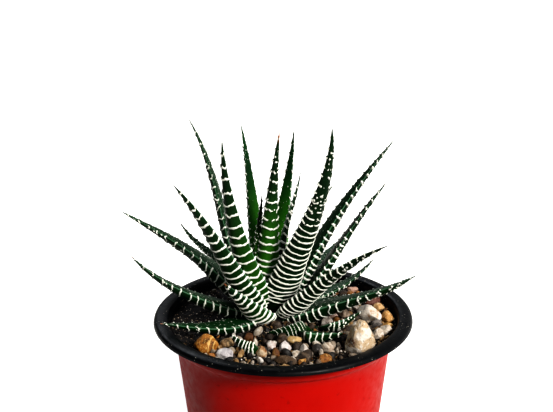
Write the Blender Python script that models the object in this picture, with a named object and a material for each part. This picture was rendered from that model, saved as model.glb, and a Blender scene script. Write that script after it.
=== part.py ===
"""Potted haworthia: a zebra haworthia rosette in a thin plastic nursery pot with stones on its soil.

Metres, +Z up. The origin is the centre of the pot's foot, on the surface that the pot stands on.
+X is to the right and -Y is towards the front. The pieces are laid in one by one: the pot, the stem
with its roots, the leaves, the stones and last the soil. Where a new piece would reach into one that
is already there, it gives way to it and keeps GAP.
"""

import math

import bmesh
import bpy
from mathutils import Euler, Matrix, Vector, noise
from mathutils.bvhtree import BVHTree

# ---------------------------------------------------------------- driving dimensions
GAP = 0.0003  # clearance between touching pieces
WELD = 0.000001  # points closer than this become one after a cut

POT_HEIGHT = 0.082
RIM_RADIUS = 0.050  # outer radius of the rolled rim
RIM_WIDTH = 0.005  # from the pot's mouth to the outside of the rim
RIM_DROP = 0.0020  # how far the rim's lip hangs below its top
COLLAR_HEIGHT = 0.0085  # straight collar under the rim
COLLAR_STEP = 0.0036  # step inwards from the collar to the body
FOOT_RADIUS = 0.0334
WALL = 0.0008  # thickness of the plastic sheet
BASE_RAISE = 0.0015  # the drained ring of the base stands this far off the ground
HOLE_RADIUS = 0.0025
HOLE_RING_RADIUS = 0.018
HOLE_COUNT = 8
POT_SIDES = 48

SOIL_DEPTH = 0.0045  # from the rim's top down to the soil at the wall
SOIL_MOUND = 0.0025  # rise of the soil round the rosette
MOUND_SPREAD = 0.018
HOLLOW_X = -0.029  # the soil has sunk on the left, under the lowest leaves
HOLLOW_Y = -0.004
HOLLOW_DEPTH = 0.0035
HOLLOW_SPREAD = 0.011

CROWN_X = -0.005  # where the rosette grows
CROWN_Y = 0.004
STEM_RADIUS = 0.0042
STEM_RISE = 0.011  # stem top above the rim's plane
STEM_SINK = 0.016  # stem bottom below the rim's plane
ROOT_COUNT = 6
ROOT_LENGTH = 0.042
ROOT_RADIUS = 0.0017

LEAF_SCALE = 1.0  # multiplies the length of every leaf
LEAF_FULLNESS = 1.0  # multiplies the width of every leaf
KEPT_SHARE = 0.5  # a cut that leaves less of a piece than this is taken as failed
LEAF_THICKNESS = 0.46  # thickness at the base as a share of the width

STONE_SCALE = 1.0
STONE_FIELD = 0.045  # the mouth radius that the stones' and offsets' places below belong to

MM = 0.001

# ---------------------------------------------------------------- the leaves
# Each row is one leaf, in millimetres and degrees:
#   root: direction from the crown, distance from it, height above the rim's plane
#   heading: compass direction that the leaf grows in (0 is +X, 90 is +Y, 270 is to the front)
#   rise: angle above the horizontal at the base, the middle and the tip
#   turn: change of heading at the middle and the tip
#   length, width at the base, and the direction that the banded outer face looks in
ROSETTE = [
    ("leaf_front_short", (255, 7, -1), 222, (44, 44, 47), (0, 0), 28, 14.0, 246),
    ("leaf_front_left", (224, 7, 3), 222, (55, 59, 48), (1, -3), 68, 13.0, 240),
    ("leaf_front_right", (305, 6, 6), 316, (72, 64, 92), (0, 11), 77, 14.5, 285),
    ("leaf_right_banded", (310, 9, 1), 322, (45, 41, 27), (0, -1), 60, 12.0, 300),
    ("leaf_right_low", (330, 10, -1), 342, (29, 22, 34), (-1, 0), 53, 15.5, 330),
    ("leaf_left_soil", (225, 9, 0), 207, (-22, 11, 13), (-1, 1), 39, 14.0, 215),
    ("leaf_left_low", (192, 9, 0), 192, (18, 29, 51), (-1, 3), 52, 13.5, 208),
    ("leaf_left_tall", (232, 5, 5), 232, (62, 71, 89), (2, -6), 72, 12.5, 246),
    ("leaf_centre_front", (262, 4, 7), 318, (91, 84, 80), (0, 0), 66, 10.5, 272),
    ("leaf_left_long", (170, 8, 1), 170, (56, 32, 25), (0, -1), 63, 15.0, 190),
    ("leaf_right_lower", (355, 11, 4), 6, (51, 56, 46), (-1, 4), 58, 11.0, 0),
    ("leaf_right_upper", (10, 9, 6), 20, (66, 54, 40), (-5, 12), 72, 12.5, 12),
    ("leaf_right_short", (14, 9, 2), 18, (0, 20, 46), (0, 0), 38, 9.5, 14),
    ("leaf_right_tip_low", (352, 10, -1), 358, (30, 9, 36), (-2, 2), 46, 8.5, 356),
    ("leaf_left_back_tall", (160, 5, 4), 160, (54, 75, 56), (0, 0), 75, 12.0, 170),
    ("leaf_left_back_short", (143, 7, 1), 143, (61, 23, 43), (3, -8), 47, 9.0, 143),
    ("leaf_back_left_upright", (125, 3, 8), 125, (69, 79, 69), (0, 0), 64, 10.0, 135),
    ("leaf_inner_right", (350, 4, 8), 15, (105, 74, 79), (-1, -1), 49, 8.5, 355),
    ("leaf_back_right_upright", (60, 3, 8), 60, (82, 72, 78), (-1, 1), 61, 11.0, 50),
    ("leaf_youngest", (210, 2, 9), 215, (65, 93, 94), (0, 0), 39, 6.0, 240),
    ("leaf_right_back_thin", (45, 5, 5), 45, (52, 53, 33), (1, -2), 49, 8.0, 45),
    ("leaf_back_middle", (88, 6, 4), 88, (55, 52, 40), (0, 2), 56, 12.0, 88),
    ("leaf_back_right_mid", (44, 8, 1), 46, (30, 24, 20), (0, 0), 42, 11.0, 46),
    ("leaf_back_left_mid", (118, 7, 2), 116, (40, 33, 29), (0, 0), 50, 10.5, 116),
    ("leaf_back_right_low", (62, 9, -1), 62, (16, 20, 30), (0, 0), 48, 11.0, 62),
    ("leaf_back_low", (90, 9, -1), 90, (8, 14, 26), (0, 0), 44, 11.0, 90),
    ("leaf_back_left_low", (135, 9, -1), 135, (10, 16, 30), (0, 0), 46, 11.0, 135),
]

# The young offsets' leaves: the same columns, but the root is a place in the pot (x, y, height).
OFFSETS = [
    ("offset_leaf_cupped", (8.0, -14.6, -1.4), 179, (-4, -4, -2), (0, 0), 13.6, 9.6, 262),
    ("offset_leaf_right", (8.6, -18.0, -0.4), 346, (-4, 6, 8), (0, 0), 15.0, 12.5, 300),
    ("offset_leaf_dark", (16.0, -12.0, -0.8), 17, (2, 18, 24), (0, -1), 15.5, 9.3, 320),
    ("offset_leaf_small", (-10.0, -28.2, -2.6), 154, (8, 22, 40), (0, 0), 11, 7.6, 235),
]

# How much more downwards than sideways the outer face of a low leaf looks; for others it is 1 to 1.
FACE_DROP = {
    "leaf_left_soil": 2.2,
    "leaf_left_low": 1.8,
    "leaf_left_long": 1.6,
    "leaf_right_low": 1.5,
    "leaf_right_short": 2.2,
    "leaf_right_tip_low": 2.2,
    "offset_leaf_cupped": 0.25,
    "offset_leaf_right": 1.6,
    "offset_leaf_dark": 1.2,
    "offset_leaf_small": 0.3,
}

# The leaf's cross-section, as shares of its half width and of its thickness.
# From one margin over the keeled outer face to the other margin, and back over the inner face.
LEAF_SECTION = [
    (-1.00, 0.00),
    (-0.76, 0.50),
    (0.00, 0.86),
    (0.76, 0.50),
    (1.00, 0.00),
    (0.50, -0.14),
    (0.00, -0.18),
    (-0.50, -0.14),
]
LEAF_STATIONS = (0.0, 0.06, 0.14, 0.24, 0.36, 0.50, 0.64, 0.78, 0.90)

# ---------------------------------------------------------------- the stones
# name, place (x, y) in mm, height of its middle above the soil, half sizes in mm, turn about Z, colour
STONES = [
    ("stone_orange_rough", (-28.3, -23.4), 2.3, (4.2, 3.8, 3.7), 20, (0.42, 0.17, 0.03)),
    ("stone_grey_pebble", (-21.0, -30.4), 1.2, (3.1, 2.6, 2.0), 10, (0.50, 0.48, 0.50)),
    ("stone_olive", (-20.6, -21.0), 1.4, (2.4, 1.9, 1.6), 25, (0.20, 0.13, 0.05)),
    ("stone_orange_granular", (-7.9, -29.6), 1.3, (1.9, 1.9, 2.3), 0, (0.45, 0.25, 0.10)),
    ("stone_white_pair_left", (-4.2, -24.8), 1.2, (2.0, 1.9, 1.9), 30, (0.68, 0.60, 0.58)),
    ("stone_white_pair_right", (0.6, -26.0), 1.3, (2.4, 2.1, 2.3), -20, (0.70, 0.66, 0.66)),
    ("stone_brown_wedge", (0.6, -35.6), 1.1, (3.8, 1.7, 1.7), -18, (0.10, 0.07, 0.04)),
    ("stone_cream", (4.4, -20.4), 1.2, (2.8, 1.6, 1.6), -5, (0.80, 0.62, 0.30)),
    ("stone_white_pebble", (7.6, -28.4), 1.3, (1.7, 1.7, 2.1), 15, (0.78, 0.72, 0.64)),
    ("stone_dark", (12.3, -27.4), 1.2, (1.8, 1.7, 2.0), 0, (0.05, 0.05, 0.05)),
    ("stone_pale_tan", (16.0, -26.4), 1.3, (2.2, 1.8, 2.2), 0, (0.50, 0.42, 0.34)),
    ("stone_speckled", (16.7, -7.4), 1.6, (2.3, 2.0, 2.6), 35, (0.40, 0.35, 0.31)),
    ("stone_tall_tan", (28.0, -25.4), 3.6, (4.8, 4.2, 7.8), 8, (0.66, 0.52, 0.36)),
    ("stone_white_large", (33.6, 1.2), 2.2, (5.4, 3.1, 3.1), -48, (0.85, 0.78, 0.68)),
    ("stone_yellow_tan", (38.2, 10.0), 1.2, (2.1, 1.8, 1.7), -20, (0.72, 0.52, 0.28)),
    ("stone_golden", (40.4, -0.4), 1.5, (2.4, 2.5, 2.5), 15, (0.62, 0.40, 0.16)),
    ("stone_grey_small", (35.8, -4.8), 0.9, (2.1, 1.4, 1.5), 0, (0.10, 0.09, 0.09)),
    ("stone_gold_flat", (39.8, -6.6), 0.8, (2.1, 1.4, 1.3), 0, (0.55, 0.33, 0.08)),
    ("stone_white_cluster_left", (35.4, -15.0), 1.4, (2.3, 2.1, 2.2), 40, (0.66, 0.58, 0.50)),
    ("stone_white_cluster_right", (38.8, -11.4), 1.4, (2.1, 1.8, 2.2), 0, (0.70, 0.62, 0.55)),
    ("stone_red_brown", (36.0, 15.8), 1.6, (3.2, 2.3, 2.4), 25, (0.12, 0.05, 0.03)),
    ("stone_pink_flat", (19.8, 1.0), 0.8, (1.6, 1.3, 1.3), 10, (0.55, 0.42, 0.38)),
    ("stone_brown_grey", (24.2, 2.4), 1.2, (2.4, 2.0, 2.0), -15, (0.24, 0.18, 0.14)),
    ("stone_pink_back", (29.0, 28.6), 0.9, (2.0, 1.7, 1.6), 0, (0.60, 0.44, 0.36)),
]


# ---------------------------------------------------------------- small helpers
def clear_scene():
    for old in list(bpy.data.objects):
        bpy.data.objects.remove(old, do_unlink=True)


def material(name, colour, roughness, metallic=0.0):
    made = bpy.data.materials.new(name)
    made.use_nodes = True
    shader = made.node_tree.nodes["Principled BSDF"]
    shader.inputs["Base Color"].default_value = (*colour, 1.0)
    shader.inputs["Roughness"].default_value = roughness
    shader.inputs["Metallic"].default_value = metallic
    return made


def new_object(name, mesh, finish):
    piece = bpy.data.objects.new(name, mesh)
    bpy.context.scene.collection.objects.link(piece)
    mesh.materials.clear()
    mesh.materials.append(finish)
    return piece


def mesh_from(name, vertices, faces):
    """A closed mesh of triangles with its faces pointing out."""
    mesh = bpy.data.meshes.new(name)
    mesh.from_pydata([tuple(v) for v in vertices], [], faces)
    shape = bmesh.new()
    shape.from_mesh(mesh)
    bmesh.ops.triangulate(shape, faces=shape.faces)
    bmesh.ops.recalc_face_normals(shape, faces=shape.faces)
    shape.to_mesh(mesh)
    shape.free()
    return mesh


def shade(piece, degrees=40):
    piece.data.shade_smooth()
    piece.data.set_sharp_from_angle(angle=math.radians(degrees))


def rings_to_faces(ring_count, sides):
    """Quads between neighbouring rings of the same number of points."""
    faces = []
    for ring in range(ring_count - 1):
        for side in range(sides):
            following = (side + 1) % sides
            low = ring * sides
            high = low + sides
            faces.append((low + side, low + following, high + following, high + side))
    return faces


def turned(outline, sides, height_at=None):
    """Vertices and faces of a closed solid turned about Z; its outline starts and ends on the axis."""
    vertices = []
    for radius, height in outline[1:-1]:
        for side in range(sides):
            angle = 2 * math.pi * side / sides
            x = radius * math.cos(angle)
            y = radius * math.sin(angle)
            z = height_at(x, y) if height is None else height
            vertices.append((x, y, z))
    rings = len(outline) - 2
    faces = rings_to_faces(rings, sides)
    for end, ring in ((0, 0), (-1, rings - 1)):
        height = outline[end][1]
        pole = len(vertices)
        vertices.append((0, 0, height_at(0, 0) if height is None else height))
        first = ring * sides
        for side in range(sides):
            following = (side + 1) % sides
            if end == 0:
                faces.append((pole, first + following, first + side))
            else:
                faces.append((pole, first + side, first + following))
    return vertices, faces


# ---------------------------------------------------------------- giving way
def inflated_copy(piece, amount):
    """A hidden cutter: the piece with every vertex moved out by the clearance."""
    mesh = piece.data.copy()
    shape = bmesh.new()
    shape.from_mesh(mesh)
    shape.normal_update()
    moves = [vertex.normal * amount * min(vertex.calc_shell_factor(), 1.5) for vertex in shape.verts]
    for vertex, move in zip(shape.verts, moves):
        vertex.co += move
    shape.to_mesh(mesh)
    shape.free()
    cutter = bpy.data.objects.new(piece.name + "_cutter", mesh)
    bpy.context.scene.collection.objects.link(cutter)
    cutter.hide_render = True
    cutter.display_type = "WIRE"
    return cutter


def surface_tree(piece):
    shape = bmesh.new()
    shape.from_mesh(piece.data)
    tree = BVHTree.FromBMesh(shape)
    shape.free()
    return tree


def largest_island(mesh):
    """Keeps the biggest closed body of a mesh and drops the crumbs that a cut leaves."""
    shape = bmesh.new()
    shape.from_mesh(mesh)
    bmesh.ops.remove_doubles(shape, verts=shape.verts, dist=WELD)
    bmesh.ops.dissolve_degenerate(shape, edges=shape.edges, dist=WELD)
    left = set(shape.faces)
    islands = []
    while left:
        start = left.pop()
        island = {start}
        front = [start]
        while front:
            face = front.pop()
            for edge in face.edges:
                for other in edge.link_faces:
                    if other in left:
                        left.discard(other)
                        island.add(other)
                        front.append(other)
        islands.append(island)
    islands.sort(key=lambda group: -island_size(group))
    for island in islands[1:]:
        bmesh.ops.delete(shape, geom=list(island), context="FACES")
    shape.to_mesh(mesh)
    shape.free()


def island_size(island):
    size = 1.0
    for axis in range(3):
        values = [vertex.co[axis] for face in island for vertex in face.verts]
        size *= max(values) - min(values) + 0.0001
    return size


def give_way(piece, others):
    """Cuts the piece back from the others, keeping GAP, where it would reach into them."""
    met = []
    cutters = []
    own_tree = surface_tree(piece)
    for other in others:
        cutter = inflated_copy(other, GAP)
        if own_tree.overlap(surface_tree(cutter)):
            met.append(surface_tree(other))
            cutters.append(cutter)
        else:
            drop(cutter)
    if cutters:
        whole = piece.data
        for solver in ("EXACT", "MANIFOLD"):
            piece.data = whole.copy()
            cut_away(piece, cutters, solver)
            if sound_cut(piece, whole, met):
                break
    for cutter in cutters:
        drop(cutter)


def sound_cut(piece, whole, met):
    """Says whether a cut leaves one closed body that holds enough of the piece and meets nothing."""
    if enclosed_volume(piece.data) < enclosed_volume(whole) * KEPT_SHARE:
        return False
    cut_tree = surface_tree(piece)
    return not any(cut_tree.overlap(tree) for tree in met)


def cut_away(piece, cutters, solver):
    for cutter in cutters:
        cut = piece.modifiers.new("give_way", "BOOLEAN")
        cut.operation = "DIFFERENCE"
        cut.solver = solver
        cut.object = cutter
    settle_modifiers(piece)
    largest_island(piece.data)


def enclosed_volume(mesh):
    """The volume a mesh encloses, or zero where it is open or empty."""
    shape = bmesh.new()
    shape.from_mesh(mesh)
    closed = len(shape.faces) > 0 and all(len(edge.link_faces) == 2 for edge in shape.edges)
    volume = shape.calc_volume(signed=True) if closed else 0.0
    shape.free()
    return volume


def settle_modifiers(piece):
    """Replaces the piece's mesh by what its modifiers make of it."""
    bpy.context.view_layer.update()
    evaluated = piece.evaluated_get(bpy.context.evaluated_depsgraph_get())
    mesh = bpy.data.meshes.new_from_object(evaluated)
    finish = piece.data.materials[0]
    piece.modifiers.clear()
    piece.data = mesh
    mesh.materials.clear()
    mesh.materials.append(finish)


def drop(cutter):
    mesh = cutter.data
    bpy.data.objects.remove(cutter, do_unlink=True)
    bpy.data.meshes.remove(mesh)


# ---------------------------------------------------------------- the pot
def sheet_path():
    """The middle of the pot's plastic sheet, from the centre of the base to the rim's lip."""
    mouth = RIM_RADIUS - RIM_WIDTH
    half = WALL / 2
    body_top = POT_HEIGHT - COLLAR_HEIGHT
    return [
        (0.0, half),
        (0.0095, half),
        (0.0110, BASE_RAISE + half),
        (HOLE_RING_RADIUS + 0.0065, BASE_RAISE + half),
        (HOLE_RING_RADIUS + 0.0080, half),
        (FOOT_RADIUS - 0.0022, half),
        (FOOT_RADIUS - 0.0006, 0.0008 + half),
        (FOOT_RADIUS, 0.0030),
        (body_radius(POT_HEIGHT * 0.5), POT_HEIGHT * 0.5),
        (body_radius(body_top), body_top),
        (mouth - 0.0008, body_top + 0.0016),
        (mouth - 0.0003, POT_HEIGHT - 0.0012),
        (mouth + 0.0004, POT_HEIGHT - half),
        (RIM_RADIUS - 0.0018, POT_HEIGHT - half),
        (RIM_RADIUS - 0.0007, POT_HEIGHT - 0.0009),
        (RIM_RADIUS - half, POT_HEIGHT - RIM_DROP),
    ]


def body_radius(height):
    """Radius of the tapered body's sheet at a height above the foot."""
    top = RIM_RADIUS - RIM_WIDTH - COLLAR_STEP
    return FOOT_RADIUS + (top - FOOT_RADIUS) * height / (POT_HEIGHT - COLLAR_HEIGHT)


def offset_path(path, distance):
    """The path moved sideways: positive is towards the inside of the pot."""
    moved = []
    for index, (radius, height) in enumerate(path):
        before = Vector(path[max(index - 1, 0)])
        after = Vector(path[min(index + 1, len(path) - 1)])
        here = Vector((radius, height))
        into = (here - before).normalized() if index else (after - here).normalized()
        out = (after - here).normalized() if index < len(path) - 1 else into
        along = (into + out).normalized()
        normal = Vector((-along.y, along.x))
        stretch = 1.0 / max(normal.dot(Vector((-into.y, into.x))), 0.5)
        place = here + normal * distance * stretch
        moved.append((max(place.x, 0.0), place.y))
    return moved


def make_pot():
    path = sheet_path()
    outside = offset_path(path, -WALL / 2)
    inside = offset_path(path, WALL / 2)
    outline = outside + inside[::-1]
    vertices, faces = turned(outline, POT_SIDES)
    finish = material("pot_red_plastic", (0.42, 0.025, 0.012), 0.42)
    pot = new_object("pot", mesh_from("pot", vertices, faces), finish)
    for index in range(HOLE_COUNT):
        angle = 2 * math.pi * (index + 0.5) / HOLE_COUNT
        place = Vector((math.cos(angle), math.sin(angle), 0)) * HOLE_RING_RADIUS
        cutter_shape = bmesh.new()
        bmesh.ops.create_cone(
            cutter_shape,
            cap_ends=True,
            segments=10,
            radius1=HOLE_RADIUS,
            radius2=HOLE_RADIUS,
            depth=0.01,
            matrix=Matrix.Translation(place),
        )
        mesh = bpy.data.meshes.new("hole_cutter")
        cutter_shape.to_mesh(mesh)
        cutter_shape.free()
        cutter = bpy.data.objects.new("hole_cutter", mesh)
        bpy.context.scene.collection.objects.link(cutter)
        cutter.hide_render = True
        cutter.display_type = "WIRE"
        hole = pot.modifiers.new("hole", "BOOLEAN")
        hole.operation = "DIFFERENCE"
        hole.solver = "EXACT"
        hole.object = cutter
    cutters = [hole.object for hole in pot.modifiers]
    settle_modifiers(pot)
    for cutter in cutters:
        drop(cutter)
    shade(pot)
    return pot


# ---------------------------------------------------------------- the soil's surface
def soil_top(x, y):
    """Height of the soil at a place: mounded round the rosette and sunken on the left."""
    away = (x - CROWN_X) ** 2 + (y - CROWN_Y) ** 2
    mound = SOIL_MOUND * math.exp(-away / (2 * MOUND_SPREAD**2))
    aside = (x - HOLLOW_X) ** 2 + (y - HOLLOW_Y) ** 2
    hollow = HOLLOW_DEPTH * math.exp(-aside / (2 * HOLLOW_SPREAD**2))
    return POT_HEIGHT - SOIL_DEPTH + mound - hollow


# ---------------------------------------------------------------- stem, roots and leaves
def curve_points(start, heading, rise, turn, length, stations):
    """Points and directions along a stalk whose rise and heading change smoothly from base to tip."""
    steps = 60
    position = Vector(start)
    points = []
    directions = []
    wanted = list(stations) + [1.0]
    for step in range(steps + 1):
        share = step / steps
        angle = math.radians(through_three(rise[0], rise[1], rise[2], share))
        compass = math.radians(heading + through_three(0, turn[0], turn[1], share))
        flat = math.cos(angle)
        direction = Vector((flat * math.cos(compass), flat * math.sin(compass), math.sin(angle)))
        while wanted and share >= wanted[0] - 1e-9:
            points.append(position.copy())
            directions.append(direction.copy())
            wanted.pop(0)
        position += direction * length / steps
    return points, directions


def through_three(base, middle, tip, share):
    """The parabola through a value at the base, one at the middle and one at the tip."""
    at_base = 2 * (share - 0.5) * (share - 1)
    at_middle = -4 * share * (share - 1)
    at_tip = 2 * share * (share - 0.5)
    return base * at_base + middle * at_middle + tip * at_tip


def make_stem():
    """The short stem with its thick roots, grown as one piece."""
    sides = 10
    top = POT_HEIGHT + STEM_RISE
    bottom = POT_HEIGHT - STEM_SINK
    outline = [
        (0.0, bottom),
        (STEM_RADIUS * 0.7, bottom),
        (STEM_RADIUS, bottom + 0.004),
        (STEM_RADIUS, POT_HEIGHT),
        (STEM_RADIUS * 0.45, top - 0.001),
        (0.0, top),
    ]
    vertices, faces = turned(outline, sides)
    vertices = [(x + CROWN_X, y + CROWN_Y, z) for x, y, z in vertices]
    finish = material("stem_and_roots", (0.45, 0.38, 0.24), 0.7)
    stem = new_object("stem_with_roots", mesh_from("stem_with_roots", vertices, faces), finish)
    for index in range(ROOT_COUNT):
        compass = 360.0 * index / ROOT_COUNT + 15
        low = bottom + 0.004 + 0.0015 * (index % 2)
        root = root_object(index, compass, low)
        join = stem.modifiers.new("root", "BOOLEAN")
        join.operation = "UNION"
        join.solver = "EXACT"
        join.object = root
    roots = [join.object for join in stem.modifiers]
    settle_modifiers(stem)
    for root in roots:
        drop(root)
    shade(stem)
    return stem


def root_object(index, compass, low):
    sides = 6
    inner = STEM_RADIUS * 0.5
    start = Vector(
        (
            CROWN_X + inner * math.cos(math.radians(compass)),
            CROWN_Y + inner * math.sin(math.radians(compass)),
            low,
        )
    )
    stations = (0.0, 0.25, 0.5, 0.75)
    rise = (-12 - 6 * (index % 3), -62, -74)
    points, directions = curve_points(start, compass, rise, (10, 25), ROOT_LENGTH, stations)
    vertices = []
    for station, point, direction in zip(stations, points, directions):
        radius = ROOT_RADIUS * (1 - 0.55 * station)
        side = direction.cross(Vector((0, 0, 1))).normalized()
        out = side.cross(direction)
        for corner in range(sides):
            angle = 2 * math.pi * corner / sides
            vertices.append(point + (side * math.cos(angle) + out * math.sin(angle)) * radius)
    rings = len(stations)
    faces = [face[::-1] for face in rings_to_faces(rings, sides)]
    faces.append(tuple(range(sides)))
    tip = len(vertices)
    vertices.append(points[-1])
    last = (rings - 1) * sides
    for corner in range(sides):
        faces.append((last + (corner + 1) % sides, last + corner, tip))
    mesh = mesh_from(f"root_{index}", vertices, faces)
    root = bpy.data.objects.new(f"root_{index}", mesh)
    bpy.context.scene.collection.objects.link(root)
    root.hide_render = True
    root.display_type = "WIRE"
    return root


def leaf_width(share):
    """Share of the full width along a leaf: clasping at the base, then a long even taper."""
    clasp = 0.72 + 0.28 * min(share / 0.08, 1.0)
    return clasp * (0.8 * (1 - share) ** 1.12 + 0.2 * (1 - share) ** 0.5)


def leaf_depth(share):
    """Share of the full thickness along a leaf."""
    clasp = 0.55 + 0.45 * min(share / 0.15, 1.0)
    return clasp * (1 - share) ** 0.85


def make_leaf(name, start, heading, rise, turn, length, width, face, finish, tail=None):
    """One leaf: rings of the leaf's section along its curve, closed at the base and pointed at the tip."""
    length *= LEAF_SCALE
    width *= LEAF_FULLNESS
    points, directions = curve_points(start, heading, rise, turn, length, LEAF_STATIONS)
    shares = list(LEAF_STATIONS)
    if tail is not None:
        points.insert(0, tail)
        directions.insert(0, (points[1] - tail).normalized())
        shares.insert(0, 0.0)
    drop_share = FACE_DROP.get(name, 1.0)
    looks = Vector((math.cos(math.radians(face)), math.sin(math.radians(face)), -drop_share))
    vertices = []
    for share, point, direction in zip(shares, points, directions):
        out = (looks - direction * looks.dot(direction)).normalized()
        side = direction.cross(out).normalized()
        half_width = width / 2 * leaf_width(share)
        thickness = width * LEAF_THICKNESS * leaf_depth(share)
        if tail is not None and point is points[0]:
            half_width *= 0.75
            thickness *= 0.75
        for across, through in LEAF_SECTION:
            vertices.append(point + side * across * half_width + out * through * thickness)
    sides = len(LEAF_SECTION)
    rings = len(shares)
    faces = rings_to_faces(rings, sides)
    faces.append(tuple(range(sides)))
    tip = len(vertices)
    vertices.append(points[-1])
    last = (rings - 1) * sides
    for corner in range(sides):
        faces.append((last + corner, last + (corner + 1) % sides, tip))
    mesh = mesh_from(name, vertices, faces)
    return new_object(name, mesh, finish)


def make_rosette(finish):
    leaves = []
    for name, root, heading, rise, turn, length, width, face in ROSETTE:
        direction, distance, height = root
        compass = math.radians(direction)
        outward = Vector((math.cos(compass), math.sin(compass), 0))
        crown = Vector((CROWN_X, CROWN_Y, POT_HEIGHT))
        start = crown + outward * distance * MM + Vector((0, 0, height * MM))
        tail = None
        if distance * MM > STEM_RADIUS:
            tail = crown + outward * STEM_RADIUS * 0.7 + Vector((0, 0, (height - 1.2) * MM))
        leaf = make_leaf(name, start, heading, rise, turn, length * MM, width * MM, face, finish, tail)
        leaves.append(leaf)
    return leaves


def make_offsets(finish):
    leaves = []
    for name, root, heading, rise, turn, length, width, face in OFFSETS:
        spread = (RIM_RADIUS - RIM_WIDTH) / STONE_FIELD
        start = Vector((root[0] * MM * spread, root[1] * MM * spread, POT_HEIGHT + root[2] * MM))
        leaf = make_leaf(name, start, heading, rise, turn, length * MM, width * MM, face, finish)
        leaves.append(leaf)
    return leaves


# ---------------------------------------------------------------- the stones
def make_stone(name, place, lift, half_sizes, turn, colour, seed):
    """A rough pebble: a round solid whose surface is pushed in and out by smooth noise."""
    shape = bmesh.new()
    bmesh.ops.create_icosphere(shape, subdivisions=2 if max(half_sizes) > 3.9 else 1, radius=1.0)
    offset = Vector((seed * 7.3, seed * 3.1, seed * 5.7))
    for vertex in shape.verts:
        bump = noise.noise(vertex.co * 1.1 + offset) + 0.4 * noise.noise(vertex.co * 2.6 + offset)
        vertex.co *= 1.0 + 0.22 * bump
    scale = Matrix.Diagonal(Vector([size * MM * STONE_SCALE for size in half_sizes] + [1.0]))
    rotation = Euler((0.0, 0.0, math.radians(turn))).to_matrix().to_4x4()
    spread = (RIM_RADIUS - RIM_WIDTH) / STONE_FIELD
    x = place[0] * MM * spread
    y = place[1] * MM * spread
    z = soil_top(x, y) + lift * MM
    bmesh.ops.transform(shape, matrix=rotation @ scale, verts=shape.verts)
    bmesh.ops.translate(shape, vec=Vector((x, y, z)), verts=shape.verts)
    mesh = bpy.data.meshes.new(name)
    shape.to_mesh(mesh)
    shape.free()
    stone = new_object(name, mesh, material(name, colour, 0.75))
    shade(stone, 60)
    return stone


def make_stones():
    stones = []
    for index, (name, place, lift, half_sizes, turn, colour) in enumerate(STONES):
        stones.append(make_stone(name, place, lift, half_sizes, turn, colour, index + 1))
    return stones


# ---------------------------------------------------------------- the soil
def make_soil():
    """The potting mix: it fills the pot's inside, GAP clear of the sheet, up to the soil's surface."""
    inside = offset_path(sheet_path(), WALL / 2 + GAP)
    level = POT_HEIGHT - SOIL_DEPTH
    outline = [(0.0, inside[0][1])]
    last = inside[0]
    for radius, height in inside[1:]:
        if height >= level:
            share = (level - last[1]) / (height - last[1])
            outline.append((last[0] + (radius - last[0]) * share, level))
            break
        outline.append((radius, height))
        last = (radius, height)
    edge = outline[-1][0]
    for share in (0.86, 0.70, 0.54, 0.38, 0.20):
        outline.append((edge * share, None))
    outline.append((0.0, None))
    vertices, faces = turned(outline, POT_SIDES // 2, soil_top)
    finish = material("potting_mix", (0.03, 0.022, 0.016), 0.95)
    return new_object("soil", mesh_from("soil", vertices, faces), finish)


# ---------------------------------------------------------------- putting it together
def main():
    clear_scene()
    pot = make_pot()
    stem = make_stem()
    leaf_finish = material("leaf_green", (0.035, 0.12, 0.022), 0.38)
    laid = [pot, stem]
    for leaf in make_rosette(leaf_finish) + make_offsets(leaf_finish):
        give_way(leaf, laid)
        shade(leaf)
        laid.append(leaf)
    for stone in make_stones():
        give_way(stone, laid)
        laid.append(stone)
    soil = make_soil()
    give_way(soil, laid[1:])
    shade(soil)


main()
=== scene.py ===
# %% [markdown]
# # A potted haworthia
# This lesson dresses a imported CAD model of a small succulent: a rosette of banded leaves in gritty
# soil, in a thin two-colour nursery pot. The CAD model says where everything is. Here each piece gets
# its real surface: raised white bands on the leaves, worn gravel, damp soil and satin plastic.

# %% Load the frame
import math
import random

import bmesh
import bpy
import numpy as np
from mathutils import Euler, Matrix, Vector, noise
from mathutils.kdtree import KDTree


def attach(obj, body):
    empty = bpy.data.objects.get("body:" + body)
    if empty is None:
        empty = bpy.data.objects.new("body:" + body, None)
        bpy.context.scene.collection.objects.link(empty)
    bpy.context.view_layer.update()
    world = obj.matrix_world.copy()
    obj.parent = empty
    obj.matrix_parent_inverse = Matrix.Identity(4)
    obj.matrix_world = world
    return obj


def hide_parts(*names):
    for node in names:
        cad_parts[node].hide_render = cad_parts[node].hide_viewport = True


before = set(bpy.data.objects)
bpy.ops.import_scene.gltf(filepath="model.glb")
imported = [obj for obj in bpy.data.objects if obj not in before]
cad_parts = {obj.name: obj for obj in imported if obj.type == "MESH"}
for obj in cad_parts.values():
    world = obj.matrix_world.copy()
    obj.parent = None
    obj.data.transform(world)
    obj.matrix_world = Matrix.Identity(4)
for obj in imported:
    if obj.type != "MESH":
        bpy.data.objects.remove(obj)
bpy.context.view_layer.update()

MM = 0.001

# %% [markdown]
# Every material below needs the same three things: a colour, a way to add a node, and a finished
# material with a Principled shader at its end. Paint charts give colours as sRGB hex, but a renderer
# adds light in linear numbers, so one function does that sum. Nodes could be added by hand one line
# at a time. One small function that sets, fills and links them keeps each recipe short, and a few more
# wrap the steps that nearly every finish repeats.


# %% Colours and nodes
def linear(hex_colour):
    """An sRGB hex colour as the linear numbers that the renderer works with."""
    parts = [int(hex_colour[i : i + 2], 16) / 255 for i in (1, 3, 5)]
    return [p / 12.92 if p <= 0.04045 else ((p + 0.055) / 1.055) ** 2.4 for p in parts] + [1.0]


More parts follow.
